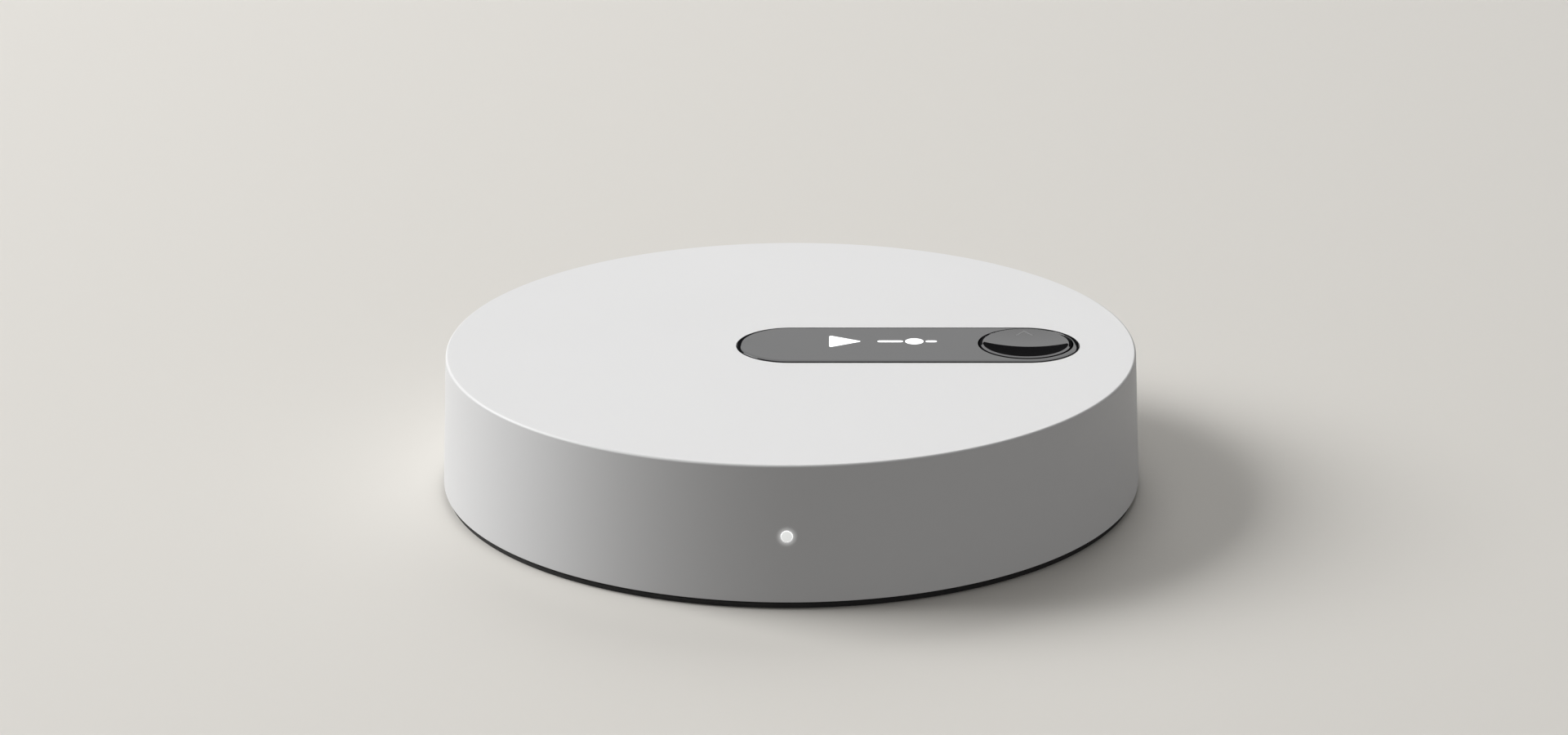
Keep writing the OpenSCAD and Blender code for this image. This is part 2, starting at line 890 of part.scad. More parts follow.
module lan_jack() {
    color("dimgray")
    difference() {
        translate([lan_x - lan_size[0] / 2, lan_front - lan_depth, board_top + 0.02])
            cube([lan_size[0], lan_depth, lan_size[1]]);
        facing_rear(lan_x, lan_cavity_z, lan_front - 13, 15)
            lan_outline(0);
    }
}

module lan_contacts() {
    pitch = 1.02;
    color("gold")
    for (i = [0:7])
        translate([lan_x + (i - 3.5) * pitch, lan_front - 8, lan_cavity_z + lan_cavity[1] - 1.3])
            rotate([-14, 0, 0])
                cube([0.4, 8.6, 0.3], center = true);
}

// Reset button behind the panel, on the stem side of its switch
module reset_button() {
    color("dimgray")
    translate([reset_x, 0, reset_z])
        rotate([-90, 0, 0]) {
            translate([0, 0, back_y - 3.8])
                cylinder(r = reset_r, h = panel_t + 3.2, $fn = 48);
            translate([0, 0, back_y - 1.2])
                cylinder(r = reset_r + 0.75, h = 1, $fn = 48);
            translate([0, 0, back_y - 5])
                cylinder(r = 0.9, h = 2, $fn = 48);
        }
}

module reset_switch() {
    size = [6, 3.6, 4];
    front = back_y - 3.8 - reset_travel - 0.25;
    color("silver")
    difference() {
        translate([reset_x - size[0] / 2, front - size[1], board_top + 0.02])
            cube(size);
        translate([reset_x, front - 1.6, reset_z])
            rotate([-90, 0, 0])
                cylinder(r = 0.9 + 0.1, h = 4, $fn = 48);
    }
}

top_cover();
base_plate();
foot_ring();
base_screws();
port_bay();
display_window();
window_adhesive();
display_panel();
display_holder();
display_screws();
display_flex();
nav_cap();
nav_pin();
nav_cradle();
nav_clip();
nav_guide();
nav_keymat();
nav_board();
nav_screws();
nav_flex();
main_board();
board_screws();
processor_chip();
thermal_pad();
heat_spreader();
memory_chips();
wifi_module();
left_antenna();
right_antenna();
antenna_cables();
power_coils();
capacitors();
flex_connectors();
status_led();
light_pipe();
hdmi_shell();
hdmi_tongue();
power_shell();
power_tongue();
lan_jack();
lan_contacts();
reset_button();
reset_switch();
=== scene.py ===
import bpy
import bmesh
import math
from mathutils import Matrix, Vector


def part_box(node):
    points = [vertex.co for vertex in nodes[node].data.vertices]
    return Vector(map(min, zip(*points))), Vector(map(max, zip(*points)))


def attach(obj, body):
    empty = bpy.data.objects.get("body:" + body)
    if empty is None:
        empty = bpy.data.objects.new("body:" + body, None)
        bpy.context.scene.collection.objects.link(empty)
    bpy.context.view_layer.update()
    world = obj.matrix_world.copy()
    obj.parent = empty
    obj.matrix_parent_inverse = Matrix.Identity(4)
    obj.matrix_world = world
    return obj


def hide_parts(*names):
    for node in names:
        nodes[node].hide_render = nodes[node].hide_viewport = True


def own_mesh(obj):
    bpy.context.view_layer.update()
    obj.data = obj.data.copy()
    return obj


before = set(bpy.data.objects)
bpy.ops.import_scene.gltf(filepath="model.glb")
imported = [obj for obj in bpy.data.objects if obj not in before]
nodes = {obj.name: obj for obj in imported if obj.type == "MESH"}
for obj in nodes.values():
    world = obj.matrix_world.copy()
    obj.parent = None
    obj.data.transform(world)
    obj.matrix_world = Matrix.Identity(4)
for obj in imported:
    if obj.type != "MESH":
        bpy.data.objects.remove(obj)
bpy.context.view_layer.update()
mm = 0.001
print("frame loaded:", len(nodes), "nodes")


# Helpers for shader nodes

def addNode(tree, kind, **values):
    node = tree.nodes.new(kind)
    for key, value in values.items():
        setattr(node, key, value)
    return node


def mathStep(tree, operation, a, b=None, clamp=False):
    node = addNode(tree, "ShaderNodeMath", operation=operation, use_clamp=clamp)
    for socket, value in zip(node.inputs, (a, b)):
        if value is None:
            continue
        if isinstance(value, (int, float)):
            socket.default_value = value
        else:
            tree.links.new(value, socket)
    return node.outputs[0]


def remap(tree, value, fromMin, fromMax, toMin, toMax):
    node = addNode(tree, "ShaderNodeMapRange")
    tree.links.new(value, node.inputs["Value"])
    for socket, number in zip(node.inputs[1:5], (fromMin, fromMax, toMin, toMax)):
        socket.default_value = number
    return node.outputs["Result"]


def noise(tree, vector, scale, detail=2.0, rough=0.5):
    node = addNode(tree, "ShaderNodeTexNoise")
    tree.links.new(vector, node.inputs["Vector"])
    if isinstance(scale, (int, float)):
        node.inputs["Scale"].default_value = scale
    else:
        tree.links.new(scale, node.inputs["Scale"])
    node.inputs["Detail"].default_value = detail
    node.inputs["Roughness"].default_value = rough
    return node.outputs[0]


def newGroup(name, inputs, outputs):
    group = bpy.data.node_groups.new(name, "ShaderNodeTree")
    for label, kind, value in inputs:
        socket = group.interface.new_socket(label, in_out="INPUT", socket_type=kind)
        if value is not None:
            socket.default_value = value
    for label, kind in outputs:
        group.interface.new_socket(label, in_out="OUTPUT", socket_type=kind)
    return group, group.nodes.new("NodeGroupInput").outputs, group.nodes.new("NodeGroupOutput").inputs


# Fine moulded texture: a bump height, a slow tone drift and a matching change of roughness
mouldGroup, mouldIn, mouldOut = newGroup(
    "mouldedSkin",
    [("Grain", "NodeSocketFloat", 2600.0), ("Base", "NodeSocketColor", (0.8, 0.8, 0.8, 1.0)),
     ("Drift", "NodeSocketFloat", 0.02), ("Rough Low", "NodeSocketFloat", 0.4),
     ("Rough High", "NodeSocketFloat", 0.5)],
    [("Height", "NodeSocketFloat"), ("Color", "NodeSocketColor"), ("Roughness", "NodeSocketFloat")])
coords = addNode(mouldGroup, "ShaderNodeTexCoord").outputs["Object"]
fineGrain = noise(mouldGroup, coords, mouldIn["Grain"], 3.0, 0.6)
slowDrift = noise(mouldGroup, coords, 38.0, 3.0, 0.55)
mouldGroup.links.new(fineGrain, mouldOut["Height"])
driftAway = mathStep(mouldGroup, "SUBTRACT", slowDrift, 0.5)
driftShare = mathStep(mouldGroup, "MULTIPLY", driftAway, mouldIn["Drift"])
toneStep = addNode(mouldGroup, "ShaderNodeHueSaturation")
mouldGroup.links.new(mouldIn["Base"], toneStep.inputs["Color"])
mouldGroup.links.new(mathStep(mouldGroup, "ADD", driftShare, 1.0), toneStep.inputs["Value"])
mouldGroup.links.new(toneStep.outputs["Color"], mouldOut["Color"])
roughMix = addNode(mouldGroup, "ShaderNodeMapRange")
mouldGroup.links.new(mathStep(mouldGroup, "ADD", fineGrain, driftAway), roughMix.inputs["Value"])
roughMix.inputs["From Min"].default_value = 0.3
roughMix.inputs["From Max"].default_value = 0.7
mouldGroup.links.new(mouldIn["Rough Low"], roughMix.inputs["To Min"])
mouldGroup.links.new(mouldIn["Rough High"], roughMix.inputs["To Max"])
mouldGroup.links.new(roughMix.outputs["Result"], mouldOut["Roughness"])

# Handling marks on a polished face: faint smears and dust specks that only change the gloss
polishGroup, polishIn, polishOut = newGroup(
    "polishedFace",
    [("Clean", "NodeSocketFloat", 0.03), ("Smeared", "NodeSocketFloat", 0.09),
     ("Base", "NodeSocketColor", None), ("Dust", "NodeSocketColor", None),
     ("Dust Amount", "NodeSocketFloat", 0.15)],
    [("Roughness", "NodeSocketFloat"), ("Color", "NodeSocketColor"), ("Height", "NodeSocketFloat")])
coords = addNode(polishGroup, "ShaderNodeTexCoord").outputs["Object"]
smear = remap(polishGroup, noise(polishGroup, coords, 90.0, 4.0, 0.6), 0.52, 0.72, 0.0, 1.0)
specks = addNode(polishGroup, "ShaderNodeTexVoronoi")
polishGroup.links.new(coords, specks.inputs["Vector"])
specks.inputs["Scale"].default_value = 900.0
speckMask = remap(polishGroup, specks.outputs["Distance"], 0.03, 0.07, 1.0, 0.0)
patchMask = remap(polishGroup, noise(polishGroup, coords, 160.0, 2.0), 0.55, 0.65, 0.0, 1.0)
dustMask = mathStep(polishGroup, "MULTIPLY", speckMask, patchMask)
glossMix = addNode(polishGroup, "ShaderNodeMapRange")
polishGroup.links.new(mathStep(polishGroup, "MAXIMUM", smear, dustMask), glossMix.inputs["Value"])
polishGroup.links.new(polishIn["Clean"], glossMix.inputs["To Min"])
polishGroup.links.new(polishIn["Smeared"], glossMix.inputs["To Max"])
polishGroup.links.new(glossMix.outputs["Result"], polishOut["Roughness"])
dustMix = addNode(polishGroup, "ShaderNodeMix", data_type="RGBA")
polishGroup.links.new(mathStep(polishGroup, "MULTIPLY", dustMask, polishIn["Dust Amount"]), dustMix.inputs[0])
polishGroup.links.new(polishIn["Base"], dustMix.inputs[6])
polishGroup.links.new(polishIn["Dust"], dustMix.inputs[7])
polishGroup.links.new(dustMix.outputs[2], polishOut["Color"])
polishGroup.links.new(noise(polishGroup, coords, 420.0, 2.0), polishOut["Height"])

# Drawn or brushed metal: long streaks along one axis
brushGroup, brushIn, brushOut = newGroup(
    "drawnMetal",
    [("Streaks", "NodeSocketVector", (200.0, 3500.0, 3500.0)),
     ("Base", "NodeSocketColor", (0.6, 0.6, 0.6, 1.0)),
     ("Rough Low", "NodeSocketFloat", 0.25), ("Rough High", "NodeSocketFloat", 0.45)],
    [("Height", "NodeSocketFloat"), ("Color", "NodeSocketColor"), ("Roughness", "NodeSocketFloat")])
coords = addNode(brushGroup, "ShaderNodeTexCoord").outputs["Object"]
stretch = addNode(brushGroup, "ShaderNodeVectorMath", operation="MULTIPLY")
brushGroup.links.new(coords, stretch.inputs[0])
brushGroup.links.new(brushIn["Streaks"], stretch.inputs[1])
streak = noise(brushGroup, stretch.outputs[0], 1.0, 3.0, 0.6)
brushGroup.links.new(streak, brushOut["Height"])
toneStep = addNode(brushGroup, "ShaderNodeHueSaturation")
brushGroup.links.new(brushIn["Base"], toneStep.inputs["Color"])
brushGroup.links.new(remap(brushGroup, streak, 0.3, 0.7, 0.88, 1.08), toneStep.inputs["Value"])
brushGroup.links.new(toneStep.outputs["Color"], brushOut["Color"])
roughMix = addNode(brushGroup, "ShaderNodeMapRange")
brushGroup.links.new(streak, roughMix.inputs["Value"])
roughMix.inputs["From Min"].default_value = 0.3
roughMix.inputs["From Max"].default_value = 0.7
brushGroup.links.new(brushIn["Rough Low"], roughMix.inputs["To Min"])
brushGroup.links.new(brushIn["Rough High"], roughMix.inputs["To Max"])
brushGroup.links.new(roughMix.outputs["Result"], brushOut["Roughness"])


# Materials: each kind is one function, the finishes are listed after them
def startMaterial(name):
    material = bpy.data.materials.new(name)
    material.use_nodes = True
    tree = material.node_tree
    return material, tree, tree.nodes["Principled BSDF"]


def place(tree, group, values):
    node = addNode(tree, "ShaderNodeGroup", node_tree=group)
    for key, value in values.items():
        node.inputs[key].default_value = value
    return node


def wire(tree, shader, group, bumpDistance, bumpStrength):
    tree.links.new(group.outputs["Color"], shader.inputs["Base Color"])
    tree.links.new(group.outputs["Roughness"], shader.inputs["Roughness"])
    bump = addNode(tree, "ShaderNodeBump")
    bump.inputs["Distance"].default_value = bumpDistance
    bump.inputs["Strength"].default_value = bumpStrength
    tree.links.new(group.outputs["Height"], bump.inputs["Height"])
    tree.links.new(bump.outputs["Normal"], shader.inputs["Normal"])


def moulded(name, colour, rough=(0.42, 0.52), grain=2600.0, depth=0.00002, strength=0.25, drift=0.03):
    material, tree, shader = startMaterial(name)
    group = place(tree, mouldGroup, {"Grain": grain, "Base": (*colour, 1.0), "Drift": drift,
                                     "Rough Low": rough[0], "Rough High": rough[1]})
    wire(tree, shader, group, depth, strength)
    return material


def polished(name, colour, rough=(0.03, 0.09), dust=0.15):
    material, tree, shader = startMaterial(name)
    group = place(tree, polishGroup, {"Clean": rough[0], "Smeared": rough[1], "Base": (*colour, 1.0),
                                      "Dust": (0.35, 0.35, 0.34, 1.0), "Dust Amount": dust})
    wire(tree, shader, group, 0.000002, 0.05)
    return material


def metal(name, colour, rough=(0.22, 0.4), streaks=(200.0, 3500.0, 3500.0)):
    material, tree, shader = startMaterial(name)
    shader.inputs["Metallic"].default_value = 1.0
    group = place(tree, brushGroup, {"Streaks": streaks, "Base": (*colour, 1.0),
                                     "Rough Low": rough[0], "Rough High": rough[1]})
    wire(tree, shader, group, 0.000004, 0.2)
    return material


whiteShell = moulded("whiteShell", (0.80, 0.80, 0.80), (0.40, 0.50), 2400.0, 0.00002, 0.16, 0.02)
baseGrey = moulded("baseGrey", (0.62, 0.62, 0.63), (0.45, 0.56), 1800.0, 0.00003, 0.3)
bayBlack = moulded("bayBlack", (0.035, 0.035, 0.037), (0.42, 0.55), 1600.0, 0.00003, 0.35)
# Black rubber of the foot ring; where the ring reaches out under the wall's foot, its black also stands in
# for painted contact shadow
footRubberAndShade = moulded("footRubberAndShade", (0.02, 0.02, 0.021), (0.6, 0.75), 1300.0, 0.00004, 0.5, 0.1)
darkMoulding = moulded("darkMoulding", (0.06, 0.06, 0.065), (0.4, 0.55), 1800.0)
milkyAcetal = moulded("milkyAcetal", (0.72, 0.69, 0.61), (0.3, 0.42), 1500.0)
greySilicone = moulded("greySilicone", (0.30, 0.32, 0.35), (0.5, 0.65), 1200.0)
blackEpoxy = moulded("blackEpoxy", (0.022, 0.022, 0.023), (0.45, 0.6), 3200.0, 0.00003, 0.4)
foamTape = moulded("foamTape", (0.02, 0.02, 0.02), (0.75, 0.9), 1500.0, 0.00005, 0.6)
thermalBlue = moulded("thermalBlue", (0.22, 0.36, 0.55), (0.6, 0.75), 1500.0)
ferriteGrey = moulded("ferriteGrey", (0.09, 0.09, 0.1), (0.5, 0.7), 2600.0, 0.00004, 0.5)
cableJacket = moulded("cableJacket", (0.12, 0.12, 0.125), (0.4, 0.5), 1500.0)
socketBlack = moulded("socketBlack", (0.02, 0.02, 0.021), (0.35, 0.5), 2400.0)
lampWhite = moulded("lampWhite", (0.75, 0.75, 0.70), (0.3, 0.4), 2000.0)
glossPane = polished("glossPane", (0.006, 0.006, 0.007), (0.02, 0.05), 0.05)
glossButton = polished("glossButton", (0.008, 0.008, 0.009), (0.02, 0.06), 0.05)
displayGlass = polished("displayGlass", (0.01, 0.012, 0.03), (0.05, 0.12))
amberRibbon = polished("amberRibbon", (0.42, 0.16, 0.03), (0.18, 0.3))
platedSteel = metal("platedSteel", (0.60, 0.60, 0.61), (0.25, 0.42))
tinnedShield = metal("tinnedShield", (0.68, 0.68, 0.66), (0.28, 0.42), (300.0, 300.0, 2600.0))
aluminiumPlate = metal("aluminiumPlate", (0.72, 0.73, 0.75), (0.3, 0.5), (3500.0, 160.0, 3500.0))
canAluminium = metal("canAluminium", (0.74, 0.74, 0.75), (0.22, 0.34), (2600.0, 2600.0, 160.0))
goldContact = metal("goldContact", (0.83, 0.60, 0.24), (0.18, 0.3), (3000.0, 200.0, 3000.0))
antennaGold = metal("antennaGold", (0.70, 0.48, 0.20), (0.3, 0.45), (3000.0, 200.0, 3000.0))


def boardMaterial():
    settings = dict(mask=(0.012, 0.10, 0.045, 1.0), trace=(0.02, 0.15, 0.07, 1.0), pitch=420.0)
    material, tree, shader = startMaterial("greenBoard")
    coords = addNode(tree, "ShaderNodeTexCoord").outputs["Object"]
    cells = addNode(tree, "ShaderNodeTexVoronoi", distance="MANHATTAN", feature="DISTANCE_TO_EDGE")
    tree.links.new(coords, cells.inputs["Vector"])
    cells.inputs["Scale"].default_value = settings["pitch"]
    traces = remap(tree, cells.outputs["Distance"], 0.04, 0.07, 1.0, 0.0)
    tone = addNode(tree, "ShaderNodeMix", data_type="RGBA")
    tree.links.new(traces, tone.inputs[0])
    tone.inputs[6].default_value = settings["mask"]
    tone.inputs[7].default_value = settings["trace"]
    tree.links.new(tone.outputs[2], shader.inputs["Base Color"])
    tree.links.new(remap(tree, noise(tree, coords, 300.0), 0.3, 0.7, 0.28, 0.42), shader.inputs["Roughness"])
    bump = addNode(tree, "ShaderNodeBump")
    bump.inputs["Distance"].default_value = 0.00003
    tree.links.new(traces, bump.inputs["Height"])
    tree.links.new(bump.outputs["Normal"], shader.inputs["Normal"])
    return material


greenBoard = boardMaterial()


# Painted glow: emission painted on the white shell in a soft ring round the status light, fading out over a
# millimetre
def addPaintedGlow(material, centre, inside, outside, level):
    tree = material.node_tree
    shader = tree.nodes["Principled BSDF"]
    coords = addNode(tree, "ShaderNodeTexCoord").outputs["Object"]
    away = addNode(tree, "ShaderNodeVectorMath", operation="DISTANCE")
    tree.links.new(coords, away.inputs[0])
    away.inputs[1].default_value = centre
    fade = remap(tree, away.outputs["Value"], inside, outside, 1.0, 0.0)
    soft = mathStep(tree, "MULTIPLY", mathStep(tree, "POWER", fade, 1.6), level)
    paintedGlowColour = addNode(tree, "ShaderNodeCombineColor")
    for socket in paintedGlowColour.inputs[:3]:
        tree.links.new(soft, socket)
    tree.links.new(paintedGlowColour.outputs["Color"], shader.inputs["Emission Color"])
    shader.inputs["Emission Strength"].default_value = 1.0


def litMaterial(name, colour, strength, rough):
    material, tree, shader = startMaterial(name)
    coords = addNode(tree, "ShaderNodeTexCoord").outputs["Object"]
    group = place(tree, polishGroup, {"Clean": rough, "Smeared": rough + 0.1, "Base": (*colour, 1.0),
                                      "Dust": (*colour, 1.0), "Dust Amount": 0.0})
    wire(tree, shader, group, 0.000002, 0.05)
    glow = addNode(tree, "ShaderNodeHueSaturation")
    glow.inputs["Color"].default_value = (*colour, 1.0)
    tree.links.new(remap(tree, noise(tree, coords, 500.0), 0.3, 0.7, 0.96, 1.04), glow.inputs["Value"])
    tree.links.new(glow.outputs["Color"], shader.inputs["Emission Color"])
    shader.inputs["Emission Strength"].default_value = strength
    return material


lightPipeLens = litMaterial("lightPipeLens", (0.74, 0.75, 0.74), 0.75, 0.15)
screenWhite = litMaterial("screenWhite", (0.88, 0.89, 0.90), 0.95, 0.2)
markGrey = polished("markGrey", (0.085, 0.085, 0.088), (0.06, 0.1), 0.05)
print("materials ready:", len(bpy.data.materials))


# Mesh helpers
def makePiece(name, verts, faces, material, body="housing", stands=(), sharp=40.0):
    mesh = bpy.data.meshes.new(name)
    mesh.from_pydata([tuple(v) for v in verts], [], faces)
    work = bmesh.new()
    work.from_mesh(mesh)
    bmesh.ops.remove_doubles(work, verts=work.verts, dist=1e-8)
    bmesh.ops.recalc_face_normals(work, faces=work.faces)
    work.to_mesh(mesh)
    work.free()
    mesh.shade_smooth()
    mesh.set_sharp_from_angle(angle=math.radians(sharp))
    mesh.materials.append(material)
    piece = bpy.data.objects.new(name, mesh)
    bpy.context.scene.collection.objects.link(piece)
    # Keeps flats flat beside small roundings
    flatFaces = piece.modifiers.new("flatFaces", "WEIGHTED_NORMAL")
    flatFaces.weight = 90
    flatFaces.keep_sharp = True
    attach(piece, body)
    if stands:
        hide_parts(*stands)
    return piece


def addLoop(verts, points):
    start = len(verts)
    verts.extend(points)
    return list(range(start, len(verts)))


def bridge(faces, *loops):
    for a, b in zip(loops, loops[1:]):
        for i in range(len(a)):
            j = (i + 1) % len(a)
            faces.append((a[i], a[j], b[j], b[i]))


def spread(a, b, n):
    return [a + (b - a) * i / n for i in range(n + 1)]


def arcPoints(cx, cz, r, a, b, n):
    return [(cx + r * math.cos(math.radians(t)), cz + r * math.sin(math.radians(t))) for t in spread(a, b, n)]


# A solid of revolution from (radius, height) pairs. A profile that starts and ends on the axis is
# closed by points there; a ring's profile is closed on itself.
def latheMesh(profile, centre, segments, ring=False):
    verts, faces, loops, poles = [], [], [], []
    turn = [2 * math.pi * i / segments for i in range(segments)]
    for r, z in profile:
        if r < 1e-9:
            verts.append((centre[0], centre[1], z))
            poles.append(len(verts) - 1)
        else:
            loops.append(addLoop(verts, [(centre[0] + r * math.cos(a), centre[1] + r * math.sin(a), z)
                                         for a in turn]))
    bridge(faces, *loops)
    if ring:
        bridge(faces, loops[-1], loops[0])
    for pole, loop in zip(poles, (loops[0], loops[-1])):
        for i in range(segments):
            faces.append((pole, loop[i], loop[(i + 1) % segments]))
    return verts, faces


def boxMesh(low, high, bevel):
    work = bmesh.new()
    bmesh.ops.create_cube(work, size=1.0)
    for v in work.verts:
        v.co = Vector([low[k] + (high[k] - low[k]) * (v.co[k] + 0.5) for k in range(3)])
    bmesh.ops.bevel(work, geom=work.edges[:], offset=bevel, segments=2, profile=0.5, affect="EDGES")
    verts = [tuple(v.co) for v in work.verts]
    faces = [tuple(v.index for v in f.verts) for f in work.faces]
    work.free()
    return verts, faces


def joinMeshes(parts):
    verts, faces = [], []
    for partVerts, partFaces in parts:
        start = len(verts)
        verts.extend(partVerts)
        faces.extend(tuple(i + start for i in f) for f in partFaces)
    return verts, faces


# Places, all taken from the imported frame
coverLow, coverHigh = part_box("top_cover")
paneLow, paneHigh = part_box("display_window")
capLow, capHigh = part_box("nav_cap")
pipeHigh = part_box("light_pipe")[1]
bayLow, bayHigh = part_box("port_bay")
footLow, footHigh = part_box("foot_ring")
panelLow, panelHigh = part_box("display_panel")

shell = dict(
    draft=0.97 * mm,       # how much wider the wall is at its foot
    topEdge=0.45 * mm,     # rounding of the lid's edge
    footEdge=0.2 * mm,     # rounding of the wall's foot
    wall=2.0 * mm,
    lid=2.2 * mm,
    windowPlay=0.15 * mm,  # gap between pane and lid
    windowEdge=0.06 * mm,  # broken edge of the window's pocket
    ledge=0.8 * mm,
    glue=0.15 * mm,        # adhesive between pane and ledge
    holeEdge=0.12 * mm,
    bayCorner=1.4 * mm,
    shroud=1.4 * mm,       # port bay's shroud beyond the opening
    lightPlay=0.04 * mm,
    lightMargin=3.0 * mm,  # wall round a hole that gets its own rows of faces
    bayMargin=1.5 * mm,
    bayBand=1.6 * mm,      # extra rows below the bay and below the lid's edge
    lidBand=1.4 * mm,
    lightSteps=12,
    baySteps=64,
    sideSteps=96,
)
wallFoot, lidTop = coverLow.z, coverHigh.z
footR = coverHigh.x
topR = footR - shell["draft"]
navX = (capLow.x + capHigh.x) / 2
endR = paneHigh.y + shell["windowPlay"]
leftX = paneLow.x - shell["windowPlay"] + endR
lightR = 0.9 * mm
buttonGap = 0.25 * mm
lightZ = pipeHigh.z - lightR - 0.1 * mm


# Where a direction from the window's middle meets its round-ended outline
def stadiumPoint(direction, radius, centreX, halfLength):
    dx, dy = direction
    size = math.hypot(dx, dy)
    dx, dy = dx / size, dy / size
    if abs(dy) > 1e-9 and abs(radius / abs(dy) * dx) <= halfLength:
        t = radius / abs(dy)
    else:
        t = halfLength * abs(dx) + math.sqrt(max(radius ** 2 - (halfLength * dy) ** 2, 0.0))
    return centreX + t * dx, t * dy


def wallRadius(z, inset=0.0):
    share = (z - wallFoot) / (lidTop - shell["topEdge"] - wallFoot)
    return footR + (topR - footR) * share - inset


def outlinePoint(x, z, hole, grow):
    corner = hole["corner"] + grow
    dx = x - hole["x"]
    dz = z - hole["z"]
    limitX = hole["halfX"] - hole["corner"]
    limitZ = hole["halfZ"] - hole["corner"]
    nearX = max(-limitX, min(limitX, dx))
    nearZ = max(-limitZ, min(limitZ, dz))
    away = math.hypot(dx - nearX, dz - nearZ)
    return (hole["x"] + nearX + corner * (dx - nearX) / away,
            hole["z"] + nearZ + corner * (dz - nearZ) / away)


def onWall(x, z, side, inset):
    r = wallRadius(z, inset)
    return (x, side * math.sqrt(r * r - x * x), z)


def buildCover():
    holeR = lightR + shell["lightPlay"]
    lightHole = dict(x=0.0, z=lightZ, halfX=holeR, halfZ=holeR, corner=holeR, side=-1,
                     margin=shell["lightMargin"])
    bayHole = dict(x=0.0, z=(bayLow.z + bayHigh.z) / 2, halfX=bayHigh.x - shell["shroud"],
                   halfZ=(bayHigh.z - bayLow.z) / 2 - shell["shroud"], corner=shell["bayCorner"],
                   side=1, margin=shell["bayMargin"])
    bayTop = bayHole["z"] + bayHole["halfZ"] + bayHole["margin"]
    bayBottom = bayHole["z"] - bayHole["halfZ"] - bayHole["margin"]
    lightSpan = math.degrees(math.asin(lightHole["margin"] / wallRadius(lightZ)))
    baySpan = math.degrees(math.asin((bayHole["halfX"] + bayHole["margin"]) / wallRadius(bayHole["z"])))
    angles = spread(-90 - lightSpan, -90 + lightSpan, shell["lightSteps"])
    angles += spread(-90 + lightSpan, 90 - baySpan, shell["sideSteps"])[1:]
    angles += spread(90 - baySpan, 90 + baySpan, shell["baySteps"])[1:]
    angles += spread(90 + baySpan, 270 - lightSpan, shell["sideSteps"])[1:-1]
    lightRows = spread(lightZ - lightHole["margin"], lightZ + lightHole["margin"], shell["lightSteps"])
    rows = [wallFoot + shell["footEdge"], bayBottom - shell["bayBand"], bayBottom]
    rows += spread(bayBottom, lightRows[0], 4)[1:-1]
    rows += lightRows + spread(lightRows[-1], bayTop, 5)[1:]
    lidUnder = lidTop - shell["lid"]
    outerRows = rows + [lidTop - shell["lidBand"], lidTop - shell["topEdge"]]
    innerRows = rows + [lidUnder]
    verts, faces = [], []

    def ringAt(r, z):
        return addLoop(verts, [(r * math.cos(math.radians(a)), r * math.sin(math.radians(a)), z)
                               for a in angles])

    def wallGrid(zs, inset):
        grid = []
        for z in zs:
            r = wallRadius(z, inset)
            grid.append(ringAt(r, z))
        return grid

    def columnsOf(hole):
        if hole["side"] < 0:
            return list(range(0, 13))
        return list(range(12 + 96, 12 + 96 + 65))

    def rowsOf(hole):
        if hole["side"] < 0:
            return rows.index(lightRows[0]), rows.index(lightRows[-1])
        return rows.index(bayBottom), rows.index(bayTop)

    holes = [lightHole, bayHole]
    skip = set()
    for hole in holes:
        low, high = rowsOf(hole)
        cols = columnsOf(hole)
        skip |= {(row, col) for row in range(low, high) for col in cols[:-1]}

    def fillGrid(grid):
        for row in range(len(grid) - 1):
            for col in range(len(angles)):
                if (row, col) not in skip:
                    nxt = (col + 1) % len(angles)
                    faces.append((grid[row][col], grid[row][nxt], grid[row + 1][nxt], grid[row + 1][col]))

    def rim(grid, hole):
        low, high = rowsOf(hole)
        cols = columnsOf(hole)
        edge = [grid[low][c] for c in cols]
        edge += [grid[r][cols[-1]] for r in range(low + 1, high)]
        edge += [grid[high][c] for c in reversed(cols)]
        edge += [grid[r][cols[0]] for r in range(high - 1, low, -1)]
        return edge

    outer = wallGrid(outerRows, 0.0)
    inner = wallGrid(innerRows, shell["wall"])
    fillGrid(outer)
    fillGrid(inner)
    for hole in holes:
        edge = rim(outer, hole)
        flat = [(verts[i][0], verts[i][2]) for i in edge]
        outline = [outlinePoint(x, z, hole, shell["holeEdge"]) for x, z in flat]
        exact = [outlinePoint(x, z, hole, 0.0) for x, z in flat]
        side = hole["side"]
        between = addLoop(verts, [onWall((x + ox) / 2, (z + oz) / 2, side, 0.0)
                                  for (x, z), (ox, oz) in zip(flat, outline)])
        mouth = addLoop(verts, [onWall(x, z, side, 0.0) for x, z in outline])
        throat = addLoop(verts, [onWall(x, z, side, shell["holeEdge"]) for x, z in exact])
        back = addLoop(verts, [onWall(x, z, side, shell["wall"]) for x, z in exact])
        bridge(faces, edge, between, mouth, throat, back, rim(inner, hole))

    # Foot of the wall, with both edges broken
    e = shell["footEdge"]
    outerFoot = [ringAt(wallRadius(wallFoot) - e + e * math.cos(t), wallFoot + e - e * math.sin(t))
                 for t in spread(math.pi / 6, math.pi / 2, 2)]
    innerR = wallRadius(wallFoot, shell["wall"])
    innerFoot = [ringAt(innerR + e, wallFoot), ringAt(innerR, wallFoot + e / 2)]
    bridge(faces, outer[0], *outerFoot, *innerFoot, inner[0])

    # Rounded top edge, the lid, the window's pocket, its ledge and the underside
    e = shell["topEdge"]
    loops = [outer[-1]]
    for t in spread(0.0, math.pi / 2, 10)[1:]:
        loops.append(ringAt(topR - e + e * math.cos(t), lidTop - e + e * math.sin(t)))
    midX = (leftX + navX) / 2
    halfLength = (navX - leftX) / 2
    towards = [((topR - e) * math.cos(math.radians(a)) - midX, (topR - e) * math.sin(math.radians(a)))
               for a in angles]

    def pocketLoop(radius, z):
        return addLoop(verts, [(*stadiumPoint(d, radius, midX, halfLength), z) for d in towards])

